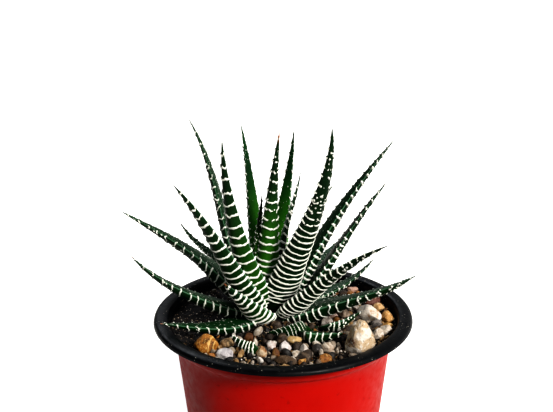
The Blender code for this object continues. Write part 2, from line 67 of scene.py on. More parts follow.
def add_node(tree, kind, settings=None, inputs=None):
    """Adds one node, sets its properties, and fills or links its inputs by name or number."""
    node = tree.nodes.new(kind)
    for key, value in (settings or {}).items():
        setattr(node, key, value)
    for key, value in (inputs or {}).items():
        if isinstance(value, bpy.types.NodeSocket):
            tree.links.new(value, node.inputs[key])
        else:
            node.inputs[key].default_value = value
    return node


def new_material(name, constants):
    """A material whose Principled shader already holds the numbers that are the same all over."""
    material = bpy.data.materials.new(name)
    material.use_nodes = True
    tree = material.node_tree
    shader = tree.nodes["Principled BSDF"]
    for key, value in constants.items():
        shader.inputs[key].default_value = value
    return material, tree, shader


def mix_colours(tree, share, first, second):
    """The node that every finish here uses most: one colour laid over another by a share."""
    inputs = {0: share, 6: first, 7: second}
    return add_node(tree, "ShaderNodeMix", {"data_type": "RGBA"}, inputs).outputs[2]


def spread_range(tree, value, low, high, to_low=0.0, to_high=1.0):
    """Stretches the part of a value between low and high over a new range, with soft ends."""
    settings = {"interpolation_type": "SMOOTHSTEP"}
    inputs = {"Value": value, 1: low, 2: high, 3: to_low, 4: to_high}
    return add_node(tree, "ShaderNodeMapRange", settings, inputs).outputs[0]


def object_place(tree):
    """The place of the shaded point on its own piece, in metres."""
    return add_node(tree, "ShaderNodeTexCoord").outputs["Object"]


def noise_value(tree, place, size, detail, **more):
    """Soft noise whose patches are about this many metres across."""
    inputs = {"Vector": place, "Scale": 1 / size, "Detail": detail, **more}
    return add_node(tree, "ShaderNodeTexNoise", None, inputs).outputs["Fac"]


def finish_surface(tree, shader, colour, roughness, height, strength, depth):
    """Links a colour and a roughness, and bumps the surface by a height over a depth in metres."""
    inputs = {"Strength": strength, "Distance": depth, "Height": height}
    bump = add_node(tree, "ShaderNodeBump", None, inputs)
    tree.links.new(colour, shader.inputs["Base Color"])
    tree.links.new(roughness, shader.inputs["Roughness"])
    tree.links.new(bump.outputs[0], shader.inputs["Normal"])


print("pure red in linear numbers:", linear("#ff0000"))


# %% [markdown]
# ## Leaf skin
# A haworthia leaf is a thick water store in a tough satin skin. The outer face is dark green and
# carries white tubercles: little corky warts that run together into raised cross bands. The skin could
# be one striped texture, but the bands stand proud, so they are modelled in the mesh. The mesh also
# hands the shader four numbers at each vertex: how raised it is, which face it is on, how dry the tip
# is there, and how light this leaf's green is. The shader only has to turn them into colour.

# %% Leaf skin material
PORE_SPACING = 0.00035  # metres between the skin's tiny pits, drawn a little coarse so that they show


def leaf_skin():
    constants = {"IOR": 1.42, "Specular IOR Level": 0.14}
    material, tree, shader = new_material("haworthia_leaf_satin_cuticle", constants)
    read = {}
    for key in ("raised", "face", "dry", "tone"):
        read[key] = add_node(tree, "ShaderNodeAttribute", {"attribute_name": key}).outputs["Fac"]
    place = object_place(tree)
    mottle = noise_value(tree, place, 6 * MM, 4.0)
    pores = noise_value(tree, place, PORE_SPACING, 2.0)
    outer = mix_colours(tree, mottle, linear("#041308"), linear("#0f3314"))
    inner = mix_colours(tree, mottle, linear("#06200d"), linear("#154320"))
    to_inner = spread_range(tree, read["face"], 0.25, -0.35)
    green = mix_colours(tree, to_inner, outer, inner)
    light = mix_colours(tree, mottle, linear("#1f7a12"), linear("#5aa822"))
    green = mix_colours(tree, read["tone"], green, light)
    fine = spread_range(tree, pores, 0.45, 0.75, 0.0, 0.30)
    green = mix_colours(tree, fine, green, linear("#255226"))
    rib = add_node(tree, "ShaderNodeMath", {"operation": "ABSOLUTE"}, {0: read["face"]}).outputs[0]
    green = mix_colours(tree, spread_range(tree, rib, 0.16, 0.03, 0.0, 0.6), green, linear("#6f9a7c"))
    dried = mix_colours(tree, pores, linear("#8a4a26"), linear("#c98a66"))
    green = mix_colours(tree, read["dry"], green, dried)
    cork = mix_colours(tree, mottle, linear("#e2e8d8"), linear("#fdfdf8"))
    wart = spread_range(tree, read["raised"], 0.22, 0.42)
    colour = mix_colours(tree, wart, green, cork)
    roughness = spread_range(tree, wart, 0.0, 1.0, 0.36, 0.62)
    finish_surface(tree, shader, colour, roughness, pores, 0.25, 0.1 * MM)
    return material


LEAF_SKIN = leaf_skin()
print("material:", LEAF_SKIN.name)

# %% [markdown]
# ## Where each leaf grows
# The leaves leave the crown in a spiral, lean out and curl up again. Each row below is one leaf of the
# CAD model: where its root lies round the crown, which way it heads, how steeply it rises at its base,
# middle and tip, how its heading turns, its length and width in millimetres, and the compass direction
# that its banded outer face looks in. A leaf could be sculpted by hand, but a row of numbers can be
# read, checked against the CAD box, and changed one at a time. The last word picks its markings.

# %% The leaf table
CROWN = Vector((-0.005, 0.004, 0.082))
LEAVES = [
    ("leaf_front_short", (255, 7, -1), 222, (44, 44, 47), (0, 0), 28, 14.0, 246, "tight"),
    ("leaf_front_left", (224, 7, 3), 222, (55, 59, 48), (1, -3), 68, 13.0, 240, "banded"),
    ("leaf_front_right", (305, 6, 6), 316, (72, 64, 92), (0, 11), 77, 14.5, 285, "close"),
    ("leaf_right_banded", (310, 9, 1), 322, (45, 41, 27), (0, -1), 60, 12.0, 300, "close"),
    ("leaf_right_low", (330, 10, -1), 342, (29, 22, 34), (-1, 0), 53, 15.5, 330, "speckled"),
    ("leaf_left_soil", (225, 9, 0), 207, (-22, 11, 13), (-1, 1), 39, 14.0, 215, "sparse"),
    ("leaf_left_low", (192, 9, 0), 192, (18, 29, 51), (-1, 3), 52, 13.5, 208, "sparse"),
    ("leaf_left_tall", (232, 5, 5), 232, (62, 71, 89), (2, -6), 72, 12.5, 246, "wide"),
    ("leaf_centre_front", (262, 4, 7), 318, (91, 84, 80), (0, 0), 66, 10.5, 272, "keeled"),
    ("leaf_left_long", (170, 8, 1), 170, (56, 32, 25), (0, -1), 63, 15.0, 190, "speckled"),
    ("leaf_right_lower", (355, 11, 4), 6, (51, 56, 46), (-1, 4), 58, 11.0, 0, "toothed"),
    ("leaf_right_upper", (10, 9, 6), 20, (66, 54, 40), (-5, 12), 72, 12.5, 12, "toothed"),
    ("leaf_right_short", (14, 9, 2), 18, (0, 20, 46), (0, 0), 38, 9.5, 14, "dotted"),
    ("leaf_right_tip_low", (352, 10, -1), 358, (30, 9, 36), (-2, 2), 46, 8.5, 356, "dotted"),
    ("leaf_left_back_tall", (160, 5, 4), 160, (54, 75, 56), (0, 0), 75, 12.0, 170, "speckled"),
    ("leaf_left_back_short", (143, 7, 1), 143, (61, 23, 43), (3, -8), 47, 9.0, 143, "dotted"),
    ("leaf_back_left_upright", (125, 3, 8), 125, (69, 79, 69), (0, 0), 64, 10.0, 135, "bright"),
    ("leaf_inner_right", (350, 4, 8), 15, (105, 74, 79), (-1, -1), 49, 8.5, 355, "toothed"),
    ("leaf_back_right_upright", (60, 3, 8), 60, (82, 72, 78), (-1, 1), 61, 11.0, 50, "fresh"),
    ("leaf_youngest", (210, 2, 9), 215, (65, 93, 94), (0, 0), 39, 6.0, 240, "young"),
    ("leaf_right_back_thin", (45, 5, 5), 45, (52, 53, 33), (1, -2), 49, 8.0, 45, "toothed"),
    ("leaf_back_middle", (88, 6, 4), 88, (55, 52, 40), (0, 2), 56, 12.0, 88, "banded"),
    ("leaf_back_right_mid", (44, 8, 1), 46, (30, 24, 20), (0, 0), 42, 11.0, 46, "banded"),
    ("leaf_back_left_mid", (118, 7, 2), 116, (40, 33, 29), (0, 0), 50, 10.5, 116, "banded"),
    ("leaf_back_right_low", (62, 9, -1), 62, (16, 20, 30), (0, 0), 48, 11.0, 62, "speckled"),
    ("leaf_back_low", (90, 9, -1), 90, (8, 14, 26), (0, 0), 44, 11.0, 90, "banded"),
    ("leaf_back_left_low", (135, 9, -1), 135, (10, 16, 30), (0, 0), 46, 11.0, 135, "speckled"),
]
YOUNG_LEAVES = [
    ("offset_leaf_cupped", (8.0, -14.6, -1.4), 179, (-4, -4, -2), (0, 0), 13.6, 9.6, 262, "shell"),
    ("offset_leaf_right", (8.6, -18.0, -0.4), 346, (-4, 6, 8), (0, 0), 15.0, 12.5, 300, "ticked"),
    ("offset_leaf_dark", (16.0, -12.0, -0.8), 17, (2, 18, 24), (0, -1), 15.5, 9.3, 320, "dotted"),
    ("offset_leaf_small", (-10.0, -28.2, -2.6), 154, (8, 22, 40), (0, 0), 11, 7.6, 235, "baby"),
]
# How much more downwards than sideways the outer face of a low leaf looks. The others look 1 to 1.
FACE_DROP = {
    "leaf_left_soil": 2.2,
    "leaf_left_low": 1.8,
    "leaf_left_long": 1.6,
    "leaf_right_low": 1.5,
    "leaf_right_short": 2.2,
    "leaf_right_tip_low": 2.2,
    "offset_leaf_cupped": 0.25,
    "offset_leaf_right": 1.6,
    "offset_leaf_dark": 1.2,
    "offset_leaf_small": 0.3,
}
print(len(LEAVES), "rosette leaves and", len(YOUNG_LEAVES), "young ones")

# %% [markdown]
# The markings differ from leaf to leaf. These numbers are what a botanist would write down: band
# spacing and thickness in millimetres, how far up the leaf the bands stay whole before they break into
# dots, how thickly dots cover the outer and the inner face, how light the green is, how much of the
# tip has dried, how far the bands' ends stand out at the margins as teeth, and in millimetres how far a
# band bows towards the base and how far it strays from its line.

# %% The markings
MARKINGS = {  # spacing, thick, whole, outer, inner, light, dry, teeth, bow, stray
    "banded": (3.05, 1.18, 1.1, 0, 0.2, 0.05, 0, 0.6, 0.45, 0.34),
    "wide": (3.5, 1.18, 1.1, 0, 0.2, 0.2, 0, 0.6, 0.5, 0.45),
    "close": (2.45, 1.05, 0.62, 0.25, 0.1, 0, 0, 0.5, 0.45, 0.45),
    "tight": (2.15, 1.24, 1, 0, 0, 0.1, 0.05, 0.35, 0.35, 0.25),
    "keeled": (2.85, 1.06, 0.6, 0.15, 0.1, 0.4, 0.05, 0.55, 0.45, 0.4),
    "speckled": (3.1, 0.72, 0.62, 0.2, 0.75, 0, 0, 0.6, 0.9, 0.8),
    "sparse": (3, 0.66, 0.7, 0.1, 0.7, 0, 0.03, 0.8, 1.1, 0.4),
    "toothed": (2.5, 1, 0.5, 0.2, 0.3, 0, 0, 0.95, 0.6, 0.5),
    "dotted": (2.1, 0.62, 0.3, 0.45, 0.7, 0, 0, 0.6, 0.5, 0.5),
    "bright": (2.6, 1, 0.35, 0.15, 0.15, 0.6, 0, 0.9, 0.5, 0.45),
    "fresh": (2.6, 1, 0.45, 0.2, 0.2, 0.8, 0, 0.9, 0.5, 0.45),
    "young": (1.8, 0.75, 0.35, 0.3, 0.2, 1, 0, 0.5, 0.45, 0.3),
    "ticked": (2.1, 0.58, 0.9, 0, 0.8, 0.05, 0.06, 0.6, 0.5, 0.3),
    "shell": (1.4, 0.34, 1.2, 0, 0.1, 0.05, 0, 0.3, 1.6, 0.12),
    "baby": (1.4, 0.62, 1, 0, 0.2, 0.05, 0, 0.4, 0.4, 0.2),
}
print(len(MARKINGS), "kinds of marking")

# %% [markdown]
# ## The shape of one leaf
# A leaf is a long taper round a bent centre line: nearly flat on its inner face, rounded with a faint
# keel on its outer one. It could be a stretched sphere or a bevelled curve, but neither has a flat face,
# two sharp margins and a wide clasping base. So rings of points are laid along the centre line, and
# each ring is the leaf's own section at that place.


# %% The centre line and the section
LINE_STEPS = 240  # short straight steps that a leaf's bent centre line is added up from
KEEL_SHARE = 0.86  # of a leaf's thickness, how much lies on its outer side


def through_three(base, middle, tip, share):
    """The parabola through a value at the base, one at the middle and one at the tip."""
    at_base = 2 * (share - 0.5) * (share - 1)
    at_middle = -4 * share * (share - 1)
    at_tip = 2 * share * (share - 0.5)
    return base * at_base + middle * at_middle + tip * at_tip


def centre_line(start, heading, rise, turn, length, shares):
    """Points and directions at the given shares of the length, straight on below the base."""
    fine = (np.arange(LINE_STEPS) + 0.5) / LINE_STEPS
    angle = np.radians(through_three(*rise, fine))
    compass = np.radians(heading + through_three(0, *turn, fine))
    flat = np.cos(angle)
    ways = np.stack([flat * np.cos(compass), flat * np.sin(compass), np.sin(angle)], 1)
    places = np.vstack([np.zeros(3), np.cumsum(ways * length / LINE_STEPS, 0)]) + np.array(start)
    marks = np.arange(LINE_STEPS + 1) / LINE_STEPS
    points = np.stack([np.interp(shares, marks, places[:, k]) for k in range(3)], 1)
    points += np.minimum(shares, 0.0)[:, None] * length * ways[0]
    directions = np.stack([np.interp(shares, fine, ways[:, k]) for k in range(3)], 1)
    directions /= np.linalg.norm(directions, axis=1)[:, None]
    return points, directions


def width_share(share):
    """How wide a leaf is along its length: widest just above its clasping base."""
    left = np.maximum(1 - share, 0.0)
    clasp = 0.72 + 0.28 * np.minimum(share / 0.08, 1.0)
    return clasp * (0.8 * left**1.12 + 0.2 * left**0.5)


def depth_share(share):
    """How thick a leaf is along its length."""
    clasp = 0.55 + 0.45 * np.minimum(share / 0.15, 1.0)
    return clasp * np.maximum(1 - share, 0.0) ** 0.85


def section(angle):
    """Across and outwards, from the keel (0) round by the margins (90 degrees) to the inner face."""
    outwards = np.cos(angle)
    through = np.where(outwards > 0, KEEL_SHARE, 1 - KEEL_SHARE) * outwards
    return np.sin(angle), through


print("width of a leaf at its base, middle and tip:", width_share(np.array([0.0, 0.5, 1.0])).round(2))


# %% [markdown]
# ## Bands, dots and teeth
# The warts grow in cross rows. Near the base a row's warts have run together into one wavy band, and
# higher up the row is broken into dots. A noise texture alone would give blotches with no rows. Each
# band is drawn on its own instead: a wavy line round the leaf with a rounded profile, and a random
# wobble from a small lattice noise that gives the same numbers every time.


# %% Repeatable noise
def hashed(i, j, seed):
    """A number from 0 to 1 that belongs to a lattice point."""
    n = (i.astype(np.int64) * 374761393 + j.astype(np.int64) * 668265263 + seed * 9176213) & 0xFFFFFFFF
    n = ((n ^ (n >> 13)) * 1274126177) & 0xFFFFFFFF
    return ((n ^ (n >> 16)) & 0xFFFF) / 65535.0


def lattice_noise(u, v, seed):
    """Smooth noise from -1 to 1 over two coordinates."""
    i, j = np.floor(u), np.floor(v)
    a, b = u - i, v - j
    a, b = a * a * (3 - 2 * a), b * b * (3 - 2 * b)
    near = hashed(i, j, seed) * (1 - a) + hashed(i + 1, j, seed) * a
    far = hashed(i, j + 1, seed) * (1 - a) + hashed(i + 1, j + 1, seed) * a
    return 2 * (near * (1 - b) + far * b) - 1


def ease(value, low, high):
    """A soft step from 0 at low to 1 at high."""
    share = np.clip((value - low) / (high - low), 0.0, 1.0)
    return share * share * (3 - 2 * share)


print("the same number every time:", round(float(hashed(np.array(3), np.array(5), 1)), 4))

# %% [markdown]
# A band stands where the distance from its wavy middle line is less than half its thickness. How much
# of the line is covered falls off towards the tip, so bands thin out and break, but at the margins each
# row keeps a tooth. Single warts sit on a shaken grid, so they are neither in rows nor in clumps.

# %% Bands and dots
FIRST_BAND = 0.6  # mm from the root
LAST_BAND = 0.7  # mm from the tip
BAND_REACH = 2.2  # mm to either side that one band is worked out for
BREAK_SPEED = 2.4  # how fast bands thin out above the height to which they stay whole
WEAK_TOOTH_CHANCE = 0.12
GROWTH = (0.84, 0.75)  # band spacing at the base, and how much it grows towards the tip


def wart_bands(along, angle, length, spacing, thick, whole, teeth, bow, stray, seed):
    """How raised the skin is by the cross bands: rows are places along the leaf, columns go round it."""
    raised = np.zeros((len(along), len(angle)))
    outwards = np.cos(angle)
    margin = ease(np.abs(np.sin(angle)), 0.86, 0.99)
    place = FIRST_BAND
    row = 0
    while place < length - LAST_BAND:
        share = place / length
        row += 1
        wobble = stray * lattice_noise(angle * 2.1 + 31.0 * row, angle * 0 + 7.3 * row, seed)
        ripple = 0.12 * lattice_noise(angle * 6.0 + 11.0 * row, angle * 0 + 2.9 * row, seed + 5)
        middle = place - bow * outwards + wobble + ripple
        broken = lattice_noise(angle * 3.4 + 17.0 * row, angle * 0 + 5.1 * row, seed + 1)
        cover = ease(broken + BREAK_SPEED * (whole - share) + 0.35, 0.0, 0.4)
        tooth = 1.0 if hashed(np.array(row), np.array(3), seed) > WEAK_TOOTH_CHANCE else 0.4
        cover = np.maximum(cover, margin * tooth)
        cover = cover * ease(outwards, -0.42, -0.12 - 0.10 * tooth)
        swell = 0.85 + 0.35 * lattice_noise(angle * 4.1 + 3.0 * row, angle * 0 + 1.7 * row, seed + 2)
        half = 0.5 * thick * swell * np.sqrt(cover) + 1e-4
        rows = np.abs(along - place) < BAND_REACH
        away = (along[rows, None] - middle[None, :]) / half[None, :]
        height = np.clip(1 - away**2, 0, 1) * ease(cover, 0.0, 0.3)
        raised[rows] = np.maximum(raised[rows], height * (1 + teeth * margin))
        step = 0.86 + 0.28 * float(hashed(np.array(row), np.array(9), seed))
        place += spacing * step * (GROWTH[0] + GROWTH[1] * share)
    return raised


def wart_dots(along, across, pitch, size, chance, seed):
    """How raised the skin is by single warts, scattered on a shaken grid. All lengths in mm."""
    raised = np.zeros(across.shape)
    i = np.floor(along / pitch)
    j = np.floor(across / pitch)
    for di in (-1, 0, 1):
        for dj in (-1, 0, 1):
            x = (i + di + 0.5 + 0.7 * (hashed(i + di, j + dj, seed) - 0.5)) * pitch
            y = (j + dj + 0.5 + 0.7 * (hashed(i + di, j + dj, seed + 1) - 0.5)) * pitch
            radius = size * (0.55 + 0.65 * hashed(i + di, j + dj, seed + 2))
            there = hashed(i + di, j + dj, seed + 3) < chance
            away = ((along - x) * 0.9) ** 2 + (across - y) ** 2
            raised = np.maximum(raised, there * np.clip(1 - away / radius**2, 0, 1))
    return raised


trial = wart_bands(np.linspace(0, 20, 80), np.linspace(0, np.pi, 9), 20, 2.5, 1, 1, 0.5, 0.5, 0.3, 1)
print("share of a trial leaf that bands cover:", round(float((trial > 0).mean()), 2))


# %% [markdown]
# The rings sit a quarter of a millimetre apart, because a band is only one millimetre thick. Ring
# points are closer together on the outer face and at the margins, where the warts are. After the smooth
# shape is made, each point moves outwards by the height of the wart under it.

# %% Make one leaf
RING_STEP = 0.26  # mm between rings
OUTER_POINTS = 43
INNER_POINTS = 17
WART_HEIGHT = 0.40  # mm
DEPTH_TO_WIDTH = 0.46
OUTER_DOT_PITCH = 1.35  # mm
OUTER_DOT_SIZE = 0.50
INNER_DOT_PITCH = 1.15
INNER_DOT_SIZE = 0.36
BASE_TUCK = 4.5  # mm that a leaf reaches on below its root, into the crown
GRAVEL_KEEP_OFF = []  # leaf points that gravel keeps clear of


def ring_angles():
    outer = np.linspace(-np.pi / 2, np.pi / 2, OUTER_POINTS)
    inner = np.linspace(np.pi / 2, 3 * np.pi / 2, INNER_POINTS + 2)[1:-1]
    return np.concatenate([outer, inner])


def smooth_mesh(name, vertices, faces, material):
    mesh = bpy.data.meshes.new(name)
    mesh.from_pydata(vertices, [], faces)
    mesh.polygons.foreach_set("use_smooth", [True] * len(mesh.polygons))
    mesh.materials.append(material)
    piece = bpy.data.objects.new(name, mesh)
    bpy.context.scene.collection.objects.link(piece)
    return piece


def stand_for(piece, node):
    """The piece moves with the pot's body, and is shown in place of this node of the CAD model."""
    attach(piece, "root")
    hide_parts(node)


def mark_vertices(piece, key, values):
    layer = piece.data.attributes.new(key, "FLOAT", "POINT")
    layer.data.foreach_set("value", np.asarray(values, dtype=np.float32).ravel())


def tube_faces(rings, sides):
    faces = []
    for ring in range(rings - 1):
        a = ring * sides
        b = a + sides
        for k in range(sides):
            n = (k + 1) % sides
            faces.append((a + k, a + n, b + n, b + k))
    return faces


def make_leaf(node, start, heading, rise, turn, length, width, face, look, seed):
    spacing, thick, whole, outer_dots, inner_dots, light, dry, teeth, bow, stray = MARKINGS[look]
    rings = int((length + BASE_TUCK) / RING_STEP)
    tuck = min(BASE_TUCK, length * 0.25)
    shares = np.linspace(-tuck / length, 0.996, rings)
    points, ways = centre_line(start, heading, rise, turn, length, shares)
    drop = FACE_DROP.get(node, 1.0)
    looks = np.array([math.cos(math.radians(face)), math.sin(math.radians(face)), -drop])
    out = looks - ways * (ways @ looks)[:, None]
    out /= np.linalg.norm(out, axis=1)[:, None]
    side = np.cross(ways, out)
    angle = ring_angles()
    across, through = section(angle)
    half_width = 0.5 * width * width_share(shares)
    depth = DEPTH_TO_WIDTH * width * depth_share(shares)
    shape = points[:, None, :] + side[:, None, :] * (half_width[:, None] * across)[:, :, None]
    shape = shape + out[:, None, :] * (depth[:, None] * through)[:, :, None]
    along = shares * length
    raised = wart_bands(along, angle, length, spacing, thick, whole, teeth, bow, stray, seed)
    round_mm = angle[None, :] * (0.5 * half_width + 0.5 * depth)[:, None]
    grid = np.broadcast_to(along[:, None], round_mm.shape)
    outwards = np.broadcast_to(np.cos(angle)[None, :], round_mm.shape)
    upper = ease(shares, whole - 0.25, whole + 0.05)[:, None]
    outer_dot = wart_dots(grid, round_mm, OUTER_DOT_PITCH, OUTER_DOT_SIZE, outer_dots, seed + 11)
    inner_dot = wart_dots(grid, round_mm, INNER_DOT_PITCH, INNER_DOT_SIZE, inner_dots, seed + 12)
    raised = np.maximum(raised, 0.9 * outer_dot * upper * ease(outwards, 0.0, 0.15))
    raised = np.maximum(raised, 0.45 * inner_dot * ease(-outwards, 0.0, 0.2))
    raised *= ease(along, -1.5, 0.5)[:, None]
    down = np.gradient(shape, axis=0)
    wrapped = np.concatenate([shape[:, -1:], shape, shape[:, :1]], 1)
    around = (wrapped[:, 2:] - wrapped[:, :-2]) / 2
    normal = np.cross(around, down)
    normal /= np.linalg.norm(normal, axis=2)[:, :, None] + 1e-12
    centre = shape.mean(axis=1)[:, None, :]
    if ((shape - centre) * normal).sum() < 0:
        normal = -normal
    height = np.minimum(WART_HEIGHT, 0.40 * half_width + 0.05)[:, None]
    shape = shape + normal * (height * raised**0.7)[:, :, None]
    tip, _ = centre_line(start, heading, rise, turn, length, np.array([1.0]))
    vertices = np.vstack([shape.reshape(-1, 3), tip]) * MM
    sides = len(angle)
    faces = tube_faces(rings, sides)
    faces.append(tuple(range(sides - 1, -1, -1)))
    last = (rings - 1) * sides
    end = rings * sides
    faces += [(last + k, last + (k + 1) % sides, end) for k in range(sides)]
    piece = smooth_mesh("skin_" + node, vertices.tolist(), faces, LEAF_SKIN)
    mark_vertices(piece, "raised", np.append(raised.ravel(), 0.0))
    mark_vertices(piece, "face", np.append(outwards.ravel(), 0.0))
    dried = ease(shares, 1 - 1.5 * dry - 0.001, 1 - 0.3 * dry) * min(1.0, 30 * dry)
    mark_vertices(piece, "dry", np.append(np.repeat(dried, sides), dried[-1]))
    tone = light * (1 - ease(shares, 0.25, 0.75))
    mark_vertices(piece, "tone", np.append(np.repeat(tone, sides), 0.0))
    GRAVEL_KEEP_OFF.extend(shape[::6, ::4].reshape(-1, 3) * MM)
    return piece


print("points round a leaf:", len(ring_angles()))


# %% [markdown]
# Each finished leaf rides with the pot, and stands for the plain CAD leaf of the same name.

# %% Make all the leaves
def root_point(root, spread_from_crown):
    """Where a leaf starts, in mm: by compass and distance round the crown, or by x and y."""
    if not spread_from_crown:
        return np.array([root[0], root[1], CROWN.z / MM + root[2]])
    compass = math.radians(root[0])
    x = CROWN.x / MM + root[1] * math.cos(compass)
    y = CROWN.y / MM + root[1] * math.sin(compass)
    return np.array([x, y, CROWN.z / MM + root[2]])


def place_leaves(rows, spread_from_crown, first_seed):
    for number, (node, root, *shape) in enumerate(rows):
        piece = make_leaf(node, root_point(root, spread_from_crown), *shape, first_seed + 20 * number)
        stand_for(piece, node)


place_leaves(LEAVES, True, 101)
place_leaves(YOUNG_LEAVES, False, 901)

# %% [markdown]
# ## The pot
# A nursery pot is polypropylene sheet, thermoformed: a two-layer sheet, red on one side and black on
# the other, is heated and sucked into a mould. That gives a soft satin skin, round corners and a rolled
# rim where the black side turns outwards. The pot could be one turned shape with painted colours. Two
# turned layers are used instead, because the rim's colour line is then a real edge.

# %% Pot profile, all in mm
POT_HEIGHT = 82.0
RIM_RADIUS = 50.0
RIM_WIDTH = 5.0
RIM_DROP = 2.0
COLLAR_HEIGHT = 8.5
COLLAR_STEP = 3.6
FOOT_RADIUS = 33.4
WALL = 0.8
BASE_RAISE = 1.5
HOLE_RING = 18.0
HOLE_RADIUS = 2.5
HOLE_COUNT = 8


def body_radius(height):
    top = RIM_RADIUS - RIM_WIDTH - COLLAR_STEP
    return FOOT_RADIUS + (top - FOOT_RADIUS) * height / (POT_HEIGHT - COLLAR_HEIGHT)


def sheet_middle():
    """The middle of the sheet, from the centre of the base out and up to the rolled lip, in mm."""
    mouth = RIM_RADIUS - RIM_WIDTH
    half = WALL / 2
    top = POT_HEIGHT - COLLAR_HEIGHT
    return [
        (0.0, half),
        (9.5, half),
        (11.0, BASE_RAISE + half),
        (HOLE_RING + 6.5, BASE_RAISE + half),
        (HOLE_RING + 8.0, half),
        (FOOT_RADIUS - 2.2, half),
        (FOOT_RADIUS - 0.6, 0.8 + half),
        (FOOT_RADIUS, 3.0),
        *[(body_radius(POT_HEIGHT * share), POT_HEIGHT * share) for share in (0.25, 0.5, 0.75)],
        (body_radius(top), top),
        (mouth - 0.8, top + 1.6),
        (mouth - 0.3, POT_HEIGHT - 1.2),
        (mouth + 0.4, POT_HEIGHT - half),
        (RIM_RADIUS - 1.8, POT_HEIGHT - half),
        (RIM_RADIUS - 0.7, POT_HEIGHT - 0.9),
        (RIM_RADIUS - half, POT_HEIGHT - RIM_DROP),
    ]


def rounded(path, times):
    """Cuts each corner of a path at a quarter and three quarters, which rounds it off."""
    for _ in range(times):
        cut = [path[0]]
        for (x0, y0), (x1, y1) in zip(path, path[1:]):
            cut.append((x0 * 0.75 + x1 * 0.25, y0 * 0.75 + y1 * 0.25))
            cut.append((x0 * 0.25 + x1 * 0.75, y0 * 0.25 + y1 * 0.75))
        cut.append(path[-1])
        path = cut
    return path


def beside(path, distance):
    """The path moved sideways, towards the inside of the pot when the distance is positive."""
    moved = []
    for index, here in enumerate(path):
        before = path[max(index - 1, 0)]
        after = path[min(index + 1, len(path) - 1)]
        x, y = after[0] - before[0], after[1] - before[1]
        size = math.hypot(x, y)
        moved.append((max(here[0] - y / size * distance, 0.0), here[1] + x / size * distance))
    return moved


SHEET = rounded(sheet_middle(), 3)
mouth_points = [k for k, (r, z) in enumerate(SHEET) if r > RIM_RADIUS - RIM_WIDTH and z > POT_HEIGHT - 4]
COLOUR_LINE = mouth_points[0]
print("pot profile points:", len(SHEET), "rim starts at point", COLOUR_LINE)

# %% [markdown]
# Each layer is a closed outline turned round the pot's axis, so it has real thickness at the rim and in
# the drain holes. The holes are cut with real cylinders, because a dark disc would show no wall.


# %% Turn the two layers
def circle(radius, sides):
    turns = [2 * math.pi * k / sides for k in range(sides)]
    return [(radius * math.cos(turn), radius * math.sin(turn)) for turn in turns]


def turned(name, outline, sides, material):
    """A closed outline turned round the pot's axis. Points on the axis become one vertex."""
    vertices = []
    index = []
    for radius, height in outline:
        spots = circle(radius, sides) if radius > 1e-6 else [(0.0, 0.0)]
        index.append([len(vertices) + k % len(spots) for k in range(sides)])
        vertices += [(x * MM, y * MM, height * MM) for x, y in spots]
    faces = []
    for low, high in zip(index, index[1:] + index[:1]):
        if low[0] == low[1] and high[0] == high[1]:
            continue
        for k in range(sides):
            n = (k + 1) % sides
            faces.append(tuple(dict.fromkeys((low[k], low[n], high[n], high[k]))))
    return smooth_mesh(name, vertices, faces, material)


def drill_drain_holes(piece):
    for number in range(HOLE_COUNT):
        turn = 2 * math.pi * (number + 0.5) / HOLE_COUNT
        mesh = bpy.data.meshes.new("drill")
        tool = bmesh.new()
        size = HOLE_RADIUS * MM
        bmesh.ops.create_cone(tool, segments=32, radius1=size, radius2=size, depth=8 * MM, cap_ends=True)
        tool.to_mesh(mesh)
        tool.free()
        drill = bpy.data.objects.new("drill", mesh)
        bpy.context.scene.collection.objects.link(drill)
        drill.location = (HOLE_RING * math.cos(turn) * MM, HOLE_RING * math.sin(turn) * MM, 1.5 * MM)
        drill.hide_render = True
        cut = piece.modifiers.new("drain", "BOOLEAN")
        cut.operation = "DIFFERENCE"
        cut.solver = "EXACT"
        cut.object = drill
    bpy.context.view_layer.update()
    seen = piece.evaluated_get(bpy.context.evaluated_depsgraph_get())
    mesh = bpy.data.meshes.new_from_object(seen)
    drills = [cut.object for cut in piece.modifiers]
    piece.modifiers.clear()
    piece.data = mesh
    for drill in drills:
        bpy.data.objects.remove(drill)


print("drain holes in each layer:", HOLE_COUNT)

# %% [markdown]
# The red layer is pigmented right through, so it scratches without changing colour. What breaks its
# colour up is the light on its satin orange-peel skin, a little water scale and soil dust. The
# black layer shows dust far more: pale specks lie on the flat of the rim.

# %% Pot plastics
def red_plastic():
    constants = {"IOR": 1.49, "Specular IOR Level": 0.15}
    material, tree, shader = new_material("polypropylene_red_thermoformed", constants)
    place = object_place(tree)
    cloud = noise_value(tree, place, 18 * MM, 5.0)
    grime = noise_value(tree, place, 2.5 * MM, 6.0)
    peel = noise_value(tree, place, 0.8 * MM, 2.0)
    red = mix_colours(tree, cloud, linear("#b00a01"), linear("#cc1403"))
    spots = spread_range(tree, grime, 0.62, 0.74, 0.0, 0.35)
    red = mix_colours(tree, spots, red, linear("#7a140c"))
    roughness = spread_range(tree, grime, 0.3, 0.7, 0.34, 0.5)
    finish_surface(tree, shader, red, roughness, peel, 0.12, 0.2 * MM)
    return material


